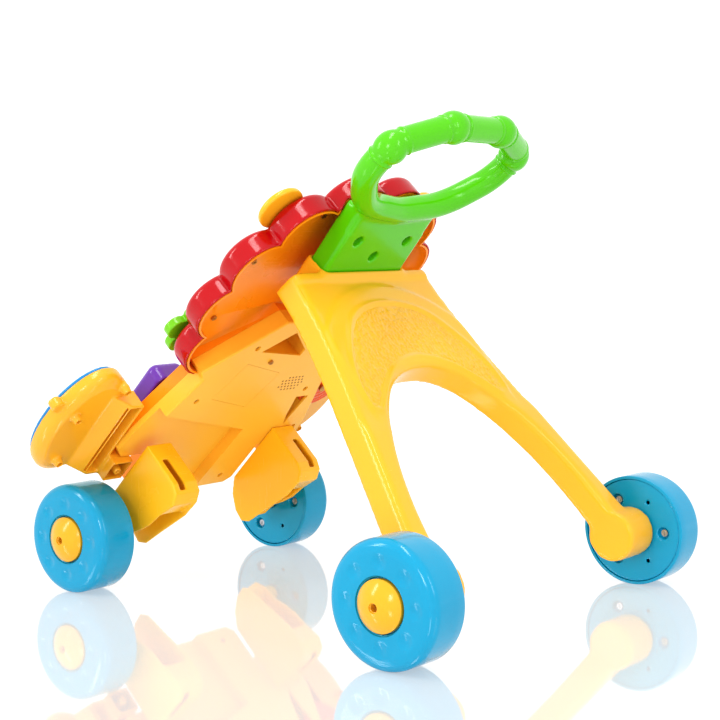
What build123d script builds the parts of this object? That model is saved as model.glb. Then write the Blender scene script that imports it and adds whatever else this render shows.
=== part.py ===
"""Push-along baby walker: scalloped flower body, ring handle, arched rear frame, four wheels.

Millimetres, +Z up, the child stands at +Y and pushes towards -Y.  The origin is on the floor,
midway between the axles.  Left is +X, as seen by the child.
"""
import os
from math import cos, degrees, radians, sin

from build123d import *

os.makedirs("parts", exist_ok=True)

# ---- driving dimensions -------------------------------------------------------------------
WHEEL_RADIUS = 55.0
WHEEL_WIDTH = 42.0
WHEELBASE = 440.8
FRONT_WHEEL_INNER_X = 132.8
REAR_WHEEL_INNER_X = 187.1
PIN_RADIUS = 4.0
HUB_CAP_RADIUS = 22.6
HUB_CAP_TIP = 51.0

WALL = 2.5
GAP = 0.3
RUNNING_FIT = 0.05

BODY_BACK_N = 66.0
BODY_SEAM_N = 84.0
BODY_FRONT_N = 97.0

MANE_CENTRE_U = 336.6
MANE_REAR_N = 75.9
MANE_FRONT_N = 102.0
PETALS = 13
PETAL_PITCH = 360 / PETALS
NOTCH_RADIUS = 136.0
PETAL_TIP_RADIUS = 152.0
FACE_RADIUS = 92.0
PETAL_ROUND = 8.0

FRAME_ANGLE = 51.0
FRAME_REAR_M = 394.0
FRAME_DEPTH = 30.0
FRAME_ROUND = 6.0

HANDLE_ANGLE = 49.6
HANDLE_WIDTH = 120.8
HANDLE_DEPTH = 23.0
HANDLE_REAR_Q = -18.4
RING_ANGLE = 37.5
RING_LIFT = 123.4
RING_TUBE = 12.5
KNUCKLE_RADIUS = 16.5

FRONT_AXLE = (-WHEELBASE / 2, WHEEL_RADIUS)
REAR_AXLE = (WHEELBASE / 2, WHEEL_RADIUS)

# Working planes.  BODY leans back 45 degrees: local x across, y up the slope, z out of the
# front.  FRAME follows the rear legs: local y runs down to the rear axle, z faces the child.
# SOCKET follows the handle's root: local z points up along it, y out of its rear face.
# RING is the plane of the hand ring: local y points up and back towards the child.
GROUND_FRONT = (0, FRONT_AXLE[0], 0)
SLOPE = sin(radians(45))
BODY = Plane(origin=GROUND_FRONT, x_dir=(1, 0, 0), z_dir=(0, -SLOPE, SLOPE))
FRAME = Plane(
    origin=GROUND_FRONT,
    x_dir=(1, 0, 0),
    z_dir=(0, sin(radians(FRAME_ANGLE)), cos(radians(FRAME_ANGLE))),
)
SOCKET = Plane(
    origin=GROUND_FRONT,
    x_dir=(1, 0, 0),
    z_dir=(0, cos(radians(HANDLE_ANGLE)), sin(radians(HANDLE_ANGLE))),
)
RING = Plane(
    origin=GROUND_FRONT,
    x_dir=(1, 0, 0),
    z_dir=(0, -sin(radians(RING_ANGLE)), cos(radians(RING_ANGLE))),
)
SIDES = {"left": 1, "right": -1}


# ---- helpers ------------------------------------------------------------------------------
def save(name, shape):
    """Write one sub-part to its STEP file."""
    solids = shape.solids()
    whole = solids[0] if len(solids) == 1 else Compound(children=list(solids))
    whole.label = name
    export_step(whole, f"parts/{name}.step")


def slab(sketch, low, high):
    """Extrude a flat outline between two heights of its own plane."""
    return extrude(Pos(0, 0, low) * sketch, amount=high - low)


def outline(points):
    """A closed face through the given corners."""
    return make_face(Polyline(*points, close=True))


def both_sides(points):
    """Continue an outline given on +x with its mirror image on -x."""
    return points + [(-x, y) for x, y in reversed(points)]


def rod(radius, low, high, centre=(0, 0)):
    """A cylinder along local z between two heights."""
    return Pos(centre[0], centre[1], (low + high) / 2) * Cylinder(radius, high - low)


def x_rod(radius, x_low, x_high, centre):
    """A cylinder along X through the point (y, z) given as centre."""
    middle = Pos((x_low + x_high) / 2, centre[0], centre[1])
    return middle * Rot(0, 90, 0) * Cylinder(radius, x_high - x_low)


def block(low, high):
    """An axis-aligned box between two corners."""
    size = [high[i] - low[i] for i in range(3)]
    middle = [(high[i] + low[i]) / 2 for i in range(3)]
    return Pos(*middle) * Box(*size)


def cone(low_radius, high_radius, low, height, centre=(0, 0)):
    """A cone frustum standing on the given height."""
    stand = (Align.CENTER, Align.CENTER, Align.MIN)
    return Pos(centre[0], centre[1], low) * Cone(low_radius, high_radius, height, align=stand)


def screw(length, head_radius=3.0, shank_radius=1.4):
    """A pan-head screw with its head at z = 0..-2 and its shank along +z, cross recess cut."""
    head = rod(head_radius, -2.0, 0)
    shank = rod(shank_radius, 0, length)
    slot = Pos(0, 0, -2.0) * Box(head_radius * 1.2, 0.8, 1.6)
    return head + shank - slot - Rot(0, 0, 90) * slot


# ---- wheels -------------------------------------------------------------------------------
SCREW_CIRCLE = 34.0
CUP_RADIUS = 6.0
CUP_DEPTH = 6.0
HUB_RADIUS = 9.0
TREAD_WALL = 3.0
CAP_SEAT = 37.5
RIM_ROUND = 8.0


def spin_about_x(points):
    """Revolve a half-section given as (along, radius) about X."""
    return revolve(outline(points), axis=Axis.X)


def round_corner(centre, radius, start, end, steps=6):
    """Points on an arc of a half-section, angles in degrees."""
    angles = [start + (end - start) * i / steps for i in range(steps + 1)]
    return [
        (centre[0] + radius * cos(radians(a)), centre[1] + radius * sin(radians(a)))
        for a in angles
    ]


def on_circle(count, radius, first=0.0):
    """Places for things spread evenly round the X axis."""
    turn = 360 / count
    return [Rot(first + i * turn, 0, 0) * Pos(0, radius, 0) * Rot(0, 90, 0) for i in range(count)]


def wheel_shell():
    """Outer cup of a wheel: tread, domed face, hub tube, cap seat and three screw posts."""
    face_x = WHEEL_WIDTH
    inner_r = WHEEL_RADIUS - TREAD_WALL
    edge = (face_x - RIM_ROUND - 0.5, WHEEL_RADIUS - RIM_ROUND)
    section = [(0, inner_r), (0, WHEEL_RADIUS - 1.5), (1.5, WHEEL_RADIUS)]
    section += round_corner(edge, RIM_ROUND, 90, 0)
    section += [(face_x, 30), (face_x, HUB_CAP_RADIUS + GAP), (CAP_SEAT, HUB_CAP_RADIUS + GAP)]
    section += [(CAP_SEAT, PIN_RADIUS + RUNNING_FIT), (0, PIN_RADIUS + RUNNING_FIT), (0, HUB_RADIUS)]
    section += [(CAP_SEAT - TREAD_WALL, HUB_RADIUS), (CAP_SEAT - TREAD_WALL, 26), (face_x - 3, 26)]
    section += round_corner(edge, RIM_ROUND - TREAD_WALL, 0, 90)
    shell = spin_about_x(section)
    for place in on_circle(3, SCREW_CIRCLE):
        shell += place * rod(4.5, CUP_DEPTH + 2.3, face_x - 2)
    for place in on_circle(3, SCREW_CIRCLE):
        shell -= place * rod(1.45, 0, 24)
    dimple_ball = 24.0
    for place in on_circle(6, 37.0, 30):
        shell -= place * Pos(0, 0, face_x + dimple_ball - 1.6) * Sphere(dimple_ball)
    return shell


def wheel_disc():
    """Inner cover of a wheel with three screw cups and three small vent holes."""
    radius = WHEEL_RADIUS - TREAD_WALL - GAP
    hub_hole = HUB_RADIUS + GAP
    disc = spin_about_x([(0.6, hub_hole), (0.6, radius), (3.4, radius), (3.4, hub_hole)])
    for place in on_circle(3, SCREW_CIRCLE):
        disc += place * rod(CUP_RADIUS + 1.6, 0.6, CUP_DEPTH + 2)
    for place in on_circle(3, SCREW_CIRCLE):
        disc -= place * rod(CUP_RADIUS, 0, CUP_DEPTH)
        disc -= place * rod(1.7, 0, CUP_DEPTH + 3)
    for place in on_circle(3, SCREW_CIRCLE, 60):
        disc -= place * rod(2.0, 0, 5)
    return disc


def wheel_screws():
    """Three screws that hold the inner cover to the outer cup."""
    places = on_circle(3, SCREW_CIRCLE)
    return Part() + [place * Pos(0, 0, CUP_DEPTH) * screw(14, 3.4) for place in places]


def hub_cap():
    """Domed snap-in cap with a small centre hole; it turns with the wheel over the pin head."""
    base = CAP_SEAT + 0.2
    sphere_r = 34.0
    centre_x = HUB_CAP_TIP - sphere_r
    rise = degrees(0.62)
    section = [(base, 19.8), (base, HUB_CAP_RADIUS), (WHEEL_WIDTH + 1, HUB_CAP_RADIUS)]
    section += round_corner((centre_x, 0), sphere_r, rise, 5.5)
    inner = sphere_r - WALL
    section += round_corner((centre_x, 0), inner, 5.9, 34)
    return spin_about_x(section)


WHEELS = {
    "front_left": (FRONT_WHEEL_INNER_X, FRONT_AXLE, 1),
    "front_right": (FRONT_WHEEL_INNER_X, FRONT_AXLE, -1),
    "rear_left": (REAR_WHEEL_INNER_X, REAR_AXLE, 1),
    "rear_right": (REAR_WHEEL_INNER_X, REAR_AXLE, -1),
}
PIN_ROOT = {"front": 97.0, "rear": 146.0}


def place_wheel(shape, name):
    """Move a wheel piece from its own axis to its corner of the walker."""
    inner_x, axle, side = WHEELS[name]
    moved = Pos(inner_x, axle[0], axle[1]) * shape
    return moved if side > 0 else mirror(moved, about=Plane.YZ)


def axle_pin(name):
    """Headed steel pin: root in the leg boss, head under the hub cap."""
    inner_x, axle, side = WHEELS[name]
    root = PIN_ROOT[name.split("_")[0]]
    head_x = inner_x + CAP_SEAT + 0.4
    pin = x_rod(PIN_RADIUS, root, head_x + 2.6, axle) + x_rod(7.5, head_x, head_x + 2.6, axle)
    return pin if side > 0 else mirror(pin, about=Plane.YZ)


# ---- rear frame ---------------------------------------------------------------------------
FRAME_TOP_S = -94.0
ARCH_TOP_S = 22.0
BOSS_RADIUS = 25.0
REAR_AXLE_S = WHEELBASE * cos(radians(FRAME_ANGLE)) - WHEEL_RADIUS * sin(radians(FRAME_ANGLE))
REAR_BOSS_INNER_X = 142.0
FRAME_FRONT_M = FRAME_REAR_M - FRAME_DEPTH
OUTER_EDGE = [(104, FRAME_TOP_S), (110, -30), (130, 55), (155, 147), (179, REAR_AXLE_S)]
INNER_EDGE = [(143, REAR_AXLE_S), (127, 145), (93, 76), (50, 34), (0, ARCH_TOP_S)]


def frame_outline(inset=0.0):
    """The arched leg outline, optionally drawn in by a wall thickness."""
    right = Spline(*[(x - inset, s) for x, s in OUTER_EDGE])
    left = Spline(*[(-x + inset, s) for x, s in OUTER_EDGE])
    arch_side = [(x + inset, s - inset * 0.6) for x, s in INNER_EDGE[:-1]]
    arch = arch_side + [(0, ARCH_TOP_S - inset)] + [(-x, s) for x, s in reversed(arch_side)]
    edges = [right, left, Spline(*arch), Line(right @ 0, left @ 0)]
    edges += [Line(right @ 1, arch[0]), Line(left @ 1, arch[-1])]
    return make_face(edges)


def panel_outline():
    """Recessed textured panel: a wide arch with a horn down each leg."""
    outer = [(0, -53), (54, -40), (88, -2), (104, 32), (107, 58)]
    lower = [(98, 62), (76, 42), (44, 19), (0, 8)]
    edges = [Spline(*outer), Spline(*[(-x, s) for x, s in outer])]
    edges += [Spline(*lower), Spline(*[(-x, s) for x, s in lower])]
    edges += [Line((x * outer[-1][0], outer[-1][1]), (x * lower[0][0], lower[0][1])) for x in (1, -1)]
    return make_face(edges)


def socket_block(grow, low, high):
    """The handle root's rounded section, grown by a clearance or a wall."""
    section = RectangleRounded(HANDLE_WIDTH + 2 * grow, HANDLE_DEPTH + 2 * grow, 4 + max(grow, 0))
    return SOCKET * slab(Pos(0, HANDLE_REAR_Q - HANDLE_DEPTH / 2) * section, low, high)


COLLAR_TOP = 407.0
COLLAR_BOTTOM = 368.0
NECK_LOW = (-48, -30.0, 286.0)
NECK_HIGH = (48, 22.0, 312.0)


def rear_frame():
    """Arched rear legs with the handle socket, the neck into the body and the wheel bosses."""
    legs = slab(frame_outline(), FRAME_FRONT_M, FRAME_REAR_M)
    rear_edges = legs.faces().sort_by(Axis.Z)[-1].edges()
    legs = fillet(rear_edges.filter_by(GeomType.BSPLINE), FRAME_ROUND)
    legs -= slab(frame_outline(WALL), FRAME_FRONT_M + WALL, FRAME_REAR_M - 4.0)
    legs -= slab(panel_outline(), FRAME_REAR_M - 1.6, FRAME_REAR_M + 1)
    frame = FRAME * legs
    for side in SIDES.values():
        ends = sorted((side * REAR_BOSS_INNER_X, side * (REAR_WHEEL_INNER_X - 0.4)))
        frame += x_rod(BOSS_RADIUS, ends[0], ends[1], REAR_AXLE)
    frame += block(NECK_LOW, NECK_HIGH) - BODY * block((-200, 200, 94), (200, 500, 160))
    frame += socket_block(4.5, COLLAR_BOTTOM, COLLAR_TOP)
    frame -= socket_block(0.2, COLLAR_BOTTOM + 3, COLLAR_TOP + 20)
    for side in SIDES.values():
        ends = sorted((side * PIN_ROOT["rear"], side * (REAR_WHEEL_INNER_X + 1)))
        frame -= x_rod(PIN_RADIUS + 0.02, ends[0], ends[1], REAR_AXLE)
    return frame


# ---- handle -------------------------------------------------------------------------------
RING_CORNERS = [(-42, 579), (42, 579), (101, 552), (101, 512), (62, 470), (0, 461)]
RING_CORNERS += [(-62, 470), (-101, 512), (-101, 552)]
RING_ROUNDS = [60, 60, 24, 45, 70, 90, 70, 45, 24]
KNUCKLES = [(38.0, 577.3), (95.9, 545.8)]
HANDLE_TOP = 477.0
HANDLE_HOLLOW_TOP = 456.0
HANDLE_BOTTOM = COLLAR_BOTTOM + 3.5
HANDLE_SCREWS = [(38.0, 442.0), (0.0, 423.0), (-38.0, 442.0)]


def ring_tube(radius):
    """The hand ring as a tube of straight runs and tangent arcs."""
    path = FilletPolyline(*RING_CORNERS, radius=RING_ROUNDS, close=True)
    section = Plane(origin=path @ 0, z_dir=path % 0) * Circle(radius)
    return sweep(section, path=path)


def handle_solid():
    """Ring, knuckles and root block as one hollow form, before it is split into halves."""
    ring = ring_tube(RING_TUBE)
    for x, y in KNUCKLES:
        ring += Pos(x, y, 0) * Sphere(KNUCKLE_RADIUS)
        ring += Pos(-x, y, 0) * Sphere(KNUCKLE_RADIUS)
    ring = RING * Pos(0, 0, RING_LIFT) * ring
    root = socket_block(0, HANDLE_BOTTOM, HANDLE_TOP)
    hollow = socket_block(-3.0, HANDLE_BOTTOM - 1, HANDLE_HOLLOW_TOP)
    root -= hollow
    for x, b in HANDLE_SCREWS:
        across = Plane(origin=SOCKET.from_local_coords((x, HANDLE_REAR_Q, b)), z_dir=-SOCKET.y_dir)
        root += across * rod(8.3, 0.5, HANDLE_DEPTH - 1)
    handle = ring + root
    handle -= RING * Pos(0, 0, RING_LIFT) * ring_tube(RING_TUBE - 3.0)
    for x, b in HANDLE_SCREWS:
        across = Plane(origin=SOCKET.from_local_coords((x, HANDLE_REAR_Q, b)), z_dir=-SOCKET.y_dir)
        handle -= across * rod(5.8, -1, 8)
        handle -= across * rod(1.7, 0, HANDLE_DEPTH - 4)
    return handle


def handle_halves():
    """Split the handle: along the root's mid-depth below the bend, along the ring's middle above."""
    big = 900
    root_middle = SOCKET.from_local_coords((0, HANDLE_REAR_Q - HANDLE_DEPTH / 2, HANDLE_BOTTOM))
    root_seam = Plane(origin=root_middle, x_dir=(1, 0, 0), z_dir=-SOCKET.y_dir)
    ring_seam = RING * Pos(0, 500, RING_LIFT)
    spaces = []
    for gap in (-0.05, 0.05):
        below = Pos(0, 0, gap - big / 2) * Box(big, big, big)
        spaces.append((root_seam * below) & (ring_seam * below))
    whole = handle_solid()
    return whole - spaces[1], whole & spaces[0]


def handle_screws():
    """Three screws down the counterbores in the handle's rear face."""
    group = Part()
    for x, b in HANDLE_SCREWS:
        across = Plane(origin=SOCKET.from_local_coords((x, HANDLE_REAR_Q, b)), z_dir=-SOCKET.y_dir)
        group += across * Pos(0, 0, 7.9) * screw(10, 3.8, 1.65)
    return group


# ---- body shells --------------------------------------------------------------------------
BODY_EDGE = [(66, 50), (75, 58), (76, 112), (120, 112), (131, 124)]
BODY_EDGE += [(127, 150), (113, 190), (97, 236), (108, 249), (30, 315)]
STEP_N = 78.0
STEP_CORNERS = [(150, 100), (150, 196), (-28, 146), (-20, 40), (79, 40), (79, 100)]
DOOR_ANGLE = 17.0
DOOR_CENTRE = (23.0, 221.0)
DOOR_SIZE = (66.0, 53.0)
SPEAKER_CENTRE = (-51.6, 217.4)
BODY_SCREWS = [(84, 204.5), (-84, 204.5), (48.7, 279), (-48.7, 279), (-115.4, 138.5), (-50, 66)]
DOOR_SCREW = (12.9, 256.5)
DISC_CENTRE = (-120.0, 200.0)
DISC_RADIUS = 30.0
DISC_LOW = 70.0
DISC_HIGH = 75.0
DISC_LUG = 9.0
KEY_PLACES = [(-68.6, 170.0), (-42.0, 170.0), (-15.4, 170.0)]
KEY_RADIUS = 11.0
KEY_TRAVEL = 3.0
KEY_FOOT_N = 87.5
BAR_CENTRE = (86.0, 177.0)
BAR_TRAVEL = 4.0
BAR_HEIGHT = 22.0
POCKETS = [
    [(38.5, 273), (5, 299), (-30, 271), (-29, 262)],
    [(-99, 192), (-94, 145), (-87, 161), (-79, 192)],
]


def petal_outline(shrink):
    """Scalloped flower outline; the petals are arcs between notches."""
    edges = []
    notch = NOTCH_RADIUS - shrink
    tip = PETAL_TIP_RADIUS - shrink
    for i in range(PETALS):
        start = -90 + (i - 0.5) * PETAL_PITCH
        places = [(notch, start), (tip, start + PETAL_PITCH / 2), (notch, start + PETAL_PITCH)]
        points = [(r * cos(radians(a)), MANE_CENTRE_U + r * sin(radians(a))) for r, a in places]
        edges.append(ThreePointArc(*points))
    return make_face(edges)


def body_outline(shrink=0.0):
    """Outline of the lower housing, optionally drawn in by a wall."""
    whole = outline(both_sides(BODY_EDGE))
    return whole if shrink == 0 else offset(whole, amount=-shrink, kind=Kind.INTERSECTION)


def door_outline(grow):
    """Battery door rectangle, turned on the back plate."""
    size = Rectangle(DOOR_SIZE[0] + 2 * grow, DOOR_SIZE[1] + 2 * grow)
    return Pos(*DOOR_CENTRE) * Rot(0, 0, DOOR_ANGLE) * size


def speaker_holes():
    """Sound holes in staggered rows."""
    holes = []
    for row in range(5):
        for column in range(7):
            shift = 2.6 if row % 2 else 0.0
            spot = ((column - 3) * 5.2 + shift, (row - 2) * 4.6)
            if spot[0] ** 2 / 400 + spot[1] ** 2 / 144 < 1:
                holes.append(Pos(*spot) * Circle(0.9))
    return Pos(*SPEAKER_CENTRE) * (Sketch() + holes)


def back_cover():
    """Rear half of the housing: back plate, side walls, grille, door opening, screw bosses."""
    step = outline(STEP_CORNERS)
    cover = slab(body_outline(), BODY_BACK_N, BODY_SEAM_N)
    cover = fillet(cover.faces().sort_by(Axis.Z)[0].edges(), 2.0)
    cover -= slab(step, BODY_BACK_N - 1, STEP_N)
    hollow = slab(body_outline(WALL), BODY_BACK_N + WALL, BODY_SEAM_N + 1)
    cover -= hollow - slab(offset(step, amount=WALL), BODY_BACK_N - 1, STEP_N + WALL)
    for spot in BODY_SCREWS:
        cover += rod(4.5, BODY_BACK_N + 1, BODY_SEAM_N - 1, spot)
    for spot in BOARD_POSTS:
        cover += rod(3.0, BODY_BACK_N + 1, BOARD_N - 0.1, spot)
    tray = slab(door_outline(WALL + GAP), BODY_BACK_N + 1, BODY_SEAM_N - 0.5)
    cover += tray & slab(body_outline(WALL - 0.5), BODY_BACK_N, BODY_SEAM_N)
    cover -= slab(door_outline(GAP), BODY_BACK_N - 1, BODY_SEAM_N - 0.5 - WALL)
    cover += rod(3.2, BODY_BACK_N + 1, BODY_SEAM_N - 1, DOOR_SCREW)
    cover -= rod(1.45, BODY_BACK_N - 1, BODY_SEAM_N - 4, DOOR_SCREW)
    for spot in BODY_SCREWS:
        cover -= rod(3.4, BODY_BACK_N - 1, BODY_BACK_N + 4, spot)
        cover -= rod(1.6, BODY_BACK_N - 1, BODY_SEAM_N + 1, spot)
    cover -= slab(speaker_holes(), BODY_BACK_N - 1, BODY_BACK_N + WALL + 1)
    for corners in POCKETS:
        cover -= slab(outline(corners), BODY_BACK_N - 1, BODY_BACK_N + WALL + 1)
    cover -= rod(DISC_RADIUS + 1, DISC_LOW - 1, DISC_HIGH + 0.5, DISC_CENTRE)
    cover -= rod(DISC_LUG + GAP, DISC_LOW, BODY_SEAM_N + 1, DISC_CENTRE)
    return BODY * cover


def front_shell():
    """Front half of the housing, widening at the top into the scalloped liner of the mane."""
    upper = slab(petal_outline(2.9), MANE_REAR_N, BODY_FRONT_N)
    upper -= slab(petal_outline(2.9 + WALL), MANE_REAR_N - 1, BODY_FRONT_N - WALL)
    upper -= slab(body_outline(-GAP), MANE_REAR_N - 1, BODY_SEAM_N + 0.2)
    below = outline([(-200, 100), (200, 100), (200, 200), (94, 236), (-94, 236), (-200, 200)])
    upper -= slab(below, MANE_REAR_N - 1, BODY_FRONT_N + 1)
    lower = slab(body_outline(), BODY_SEAM_N + 0.2, BODY_FRONT_N)
    lower -= slab(body_outline(WALL), BODY_SEAM_N - 1, BODY_FRONT_N - WALL)
    shell = upper + lower
    for spot in BODY_SCREWS:
        shell += rod(4.0, BODY_SEAM_N + 0.2, BODY_FRONT_N - 1, spot)
        shell -= rod(1.45, BODY_SEAM_N - 1, BODY_FRONT_N - 3, spot)
    for spot in MANE_SCREWS:
        shell -= rod(1.6, BODY_FRONT_N - WALL - 1, BODY_FRONT_N + 1, spot)
    for spot in KEY_PLACES:
        shell -= rod(KEY_RADIUS + GAP, BODY_FRONT_N - 5, BODY_FRONT_N + 1, spot)
    stem = Pos(*BAR_CENTRE) * RectangleRounded(14 + 2 * GAP, 24 + 2 * GAP, 4)
    shell -= slab(stem, BODY_SEAM_N, BODY_FRONT_N + 1)
    shell += rod(DISC_LUG, DISC_HIGH + 0.4, BODY_FRONT_N, DISC_CENTRE)
    shell += block((DISC_CENTRE[0], 194, BODY_SEAM_N + 1), (-107, 206, BODY_FRONT_N))
    shell -= rod(3.02, DISC_LOW - 3, BODY_FRONT_N - 2, DISC_CENTRE)
    return BODY * shell - socket_block(0.8, COLLAR_BOTTOM, HANDLE_TOP)


def battery_door():
    """Flush door over the batteries."""
    return BODY * slab(door_outline(0), BODY_BACK_N, BODY_BACK_N + 2)


BATTERY_RADIUS = 5.2
BATTERY_LENGTH = 44.5
BATTERY_PITCH = 12.0


def batteries():
    """Three cells side by side behind the door, each with its raised contact."""
    turned = Pos(DOOR_CENTRE[0], DOOR_CENTRE[1], BODY_BACK_N + 8) * Rot(0, 0, DOOR_ANGLE)
    group = Part()
    for i in (-1, 0, 1):
        cell = Cylinder(BATTERY_RADIUS, BATTERY_LENGTH)
        cell += Pos(0, 0, BATTERY_LENGTH / 2 + 0.5) * Cylinder(1.9, 1.0)
        flip = 90 if i else -90
        group += turned * Pos(i * BATTERY_PITCH, 0, 0) * Rot(flip, 0, 0) * cell
    return BODY * group


def battery_contacts():
    """Sprung contact plates at the two ends of the cells."""
    turned = Pos(DOOR_CENTRE[0], DOOR_CENTRE[1], BODY_BACK_N + 8) * Rot(0, 0, DOOR_ANGLE)
    reach = BATTERY_LENGTH / 2 + 2.2
    plates = Part()
    for end in (-1, 1):
        plates += turned * Pos(0, end * reach, 0) * Box(BATTERY_PITCH * 3 - 2, 0.6, 9)
    return BODY * plates


BOARD_N = 79.0
BOARD_CENTRE = (-42.0, 170.0)
BOARD_SIZE = (72.0, 26.0)
BOARD_POSTS = [
    (BOARD_CENTRE[0] + sx * (BOARD_SIZE[0] / 2 - 5), BOARD_CENTRE[1] + sy * (BOARD_SIZE[1] / 2 - 5))
    for sx in (-1, 1)
    for sy in (-1, 1)
]


def circuit_board():
    """Board with a sound chip and two capacitors, standing on four posts."""
    board = slab(Pos(*BOARD_CENTRE) * Rectangle(*BOARD_SIZE), BOARD_N, BOARD_N + 1.6)
    board += Pos(BOARD_CENTRE[0] - 16, BOARD_CENTRE[1], BOARD_N - 1.5) * Box(14, 9, 3)
    for i in (0, 1):
        board += rod(2.5, BOARD_N - 6, BOARD_N + 0.5, (BOARD_CENTRE[0] + 10 + 9 * i, BOARD_CENTRE[1]))
    return BODY * board


def key_membrane():
    """Soft contact sheet on the board with one dome under each key."""
    base = BOARD_N + 1.7
    sheet = slab(Pos(BOARD_CENTRE[0], KEY_PLACES[0][1]) * Rectangle(68, 20), base, base + 1.0)
    for spot in KEY_PLACES:
        sheet += cone(6.0, 4.0, base + 1.0, 2.0, spot)
    return BODY * sheet


def speaker():
    """Small round loudspeaker behind the grille."""
    low = BODY_BACK_N + WALL + 0.2
    cone = rod(17, low, low + 3, SPEAKER_CENTRE) + rod(12, low + 2, low + 8, SPEAKER_CENTRE)
    magnet = rod(9, low + 7, low + 11, SPEAKER_CENTRE)
    return BODY * (cone + magnet)


def body_screws():
    """Screws through the back cover into the front shell."""
    group = Part() + [Pos(x, u, BODY_BACK_N + 4) * screw(22, 3.0, 1.4) for x, u in BODY_SCREWS]
    return BODY * group


def door_screw():
    """Single captive screw beside the battery door."""
    return BODY * Pos(DOOR_SCREW[0], DOOR_SCREW[1], BODY_BACK_N - 0.1) * screw(12, 2.8, 1.4)


# ---- mane, face and ears ------------------------------------------------------------------
def mane():
    """Ring of petals round the liner, with a flange over the front and a gap for the body."""
    ring = slab(petal_outline(0), MANE_REAR_N, MANE_FRONT_N)
    ring = fillet(ring.faces().sort_by(Axis.Z)[-1].edges(), PETAL_ROUND)
    ring -= slab(petal_outline(2.6), MANE_REAR_N - 1, BODY_FRONT_N + GAP)
    ring -= rod(FACE_RADIUS - 6, MANE_REAR_N - 1, MANE_FRONT_N + 1, (0, MANE_CENTRE_U))
    below = outline([(-200, 100), (200, 100), (200, 200), (95.5, 237.5), (-95.5, 237.5), (-200, 200)])
    ring -= slab(below, MANE_REAR_N - 1, MANE_FRONT_N + 1)
    for spot in MANE_SCREWS:
        ring -= rod(1.45, BODY_FRONT_N, MANE_FRONT_N - 0.8, spot)
    return BODY * ring - socket_block(0.8, COLLAR_BOTTOM, HANDLE_TOP)


MANE_SCREW_RADIUS = 112.0
MANE_SCREWS = [
    (MANE_SCREW_RADIUS * cos(radians(a)), MANE_CENTRE_U + MANE_SCREW_RADIUS * sin(radians(a)))
    for a in (-20, 20, 62, 118, 160, 200)
]
NOSE_TRAVEL = 3.0
NOSE_RADIUS = 15.0
FACE_RISE = 26.0
EYE_PLACES = [(34.0, MANE_CENTRE_U + 30), (-34.0, MANE_CENTRE_U + 30)]


def dome(radius, rise, low):
    """A shallow spherical cap standing on the given height."""
    ball = (radius ** 2 + rise ** 2) / (2 * rise)
    return Pos(0, 0, low + rise - ball) * Sphere(ball) & rod(radius + 1, low, low + rise + 1)


def face():
    """Domed disc inside the mane with a hole for the nose and sockets for the eyes."""
    low = MANE_FRONT_N + GAP
    shell = dome(FACE_RADIUS, FACE_RISE, low) - dome(FACE_RADIUS - 3, FACE_RISE - 3, low)
    shell += rod(FACE_RADIUS, low, low + 2.5) - rod(FACE_RADIUS - 10, low - 1, low + 4)
    shell -= rod(NOSE_RADIUS + GAP, low + 6, low + FACE_RISE + 9)
    for x, u in EYE_PLACES:
        shell -= rod(7.2, low + 8, low + FACE_RISE, (x, u - MANE_CENTRE_U))
    return BODY * Pos(0, MANE_CENTRE_U, 0) * shell


def nose_button():
    """Press button with a rounded top and a flange inside the face."""
    top = MANE_FRONT_N + GAP + FACE_RISE + 5
    button = rod(NOSE_RADIUS, top - 16, top - 3)
    button += cone(NOSE_RADIUS, 9.0, top - 3, 3.0)
    button += rod(NOSE_RADIUS + 3, top - 11.7, top - 9.2)
    return BODY * Pos(0, MANE_CENTRE_U, 0) * button


def nose_switch():
    """Fixed switch post the nose is pressed against."""
    low = BODY_FRONT_N + 0.1
    post = rod(10, low, low + 2) + rod(5, low, MANE_FRONT_N + GAP + FACE_RISE - 11 - NOSE_TRAVEL - 0.4)
    return BODY * Pos(0, MANE_CENTRE_U, 0) * post


def eyes():
    """Two round eyes seated in the face."""
    low = MANE_FRONT_N + GAP + 12
    group = Part()
    for x, u in EYE_PLACES:
        group += rod(7.0, low, low + 11.5, (x, u))
    return BODY * group


EAR_CENTRE = (104.0, 434.0)
EAR_RADIUS = 24.0


def ear(side):
    """Round ear standing on the front of the petals."""
    low = MANE_FRONT_N + GAP
    disc = dome(EAR_RADIUS, 7.0, low + 5) + rod(EAR_RADIUS, low, low + 5)
    return BODY * Pos(side * EAR_CENTRE[0], EAR_CENTRE[1], 0) * disc


def mane_screws():
    """Screws from inside the liner into the petals."""
    head_n = BODY_FRONT_N - WALL - 0.1
    group = Part() + [Pos(x, u, head_n) * screw(4.6, 3.0, 1.4) for x, u in MANE_SCREWS]
    return BODY * group


# ---- play pieces --------------------------------------------------------------------------
FLOWER_CENTRE = (103.0, 268.0)
FLOWER_LOW = 107.0
FLOWER_HIGH = 119.0


def flower_spinner():
    """Five round petals and a hub, spinning on a fixed pin."""
    shape = Circle(14)
    for i in range(5):
        shape += Rot(0, 0, i * 72) * Pos(19.5, 0) * Circle(12)
    flower = slab(shape, FLOWER_LOW, FLOWER_HIGH - 3) + rod(8, FLOWER_LOW - 1, FLOWER_HIGH)
    flower -= rod(3.05, FLOWER_LOW - 2, FLOWER_HIGH + 1)
    return BODY * Pos(FLOWER_CENTRE[0], FLOWER_CENTRE[1], 0) * flower


def flower_pin():
    """Shouldered pin standing on a petal, with a head over the flower."""
    pin = rod(6, MANE_FRONT_N + 0.1, FLOWER_LOW - 1.4) + rod(3, FLOWER_LOW - 2, FLOWER_HIGH + 0.5)
    pin += rod(5.5, FLOWER_HIGH + 0.4, FLOWER_HIGH + 3)
    return BODY * Pos(FLOWER_CENTRE[0], FLOWER_CENTRE[1], 0) * pin


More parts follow.
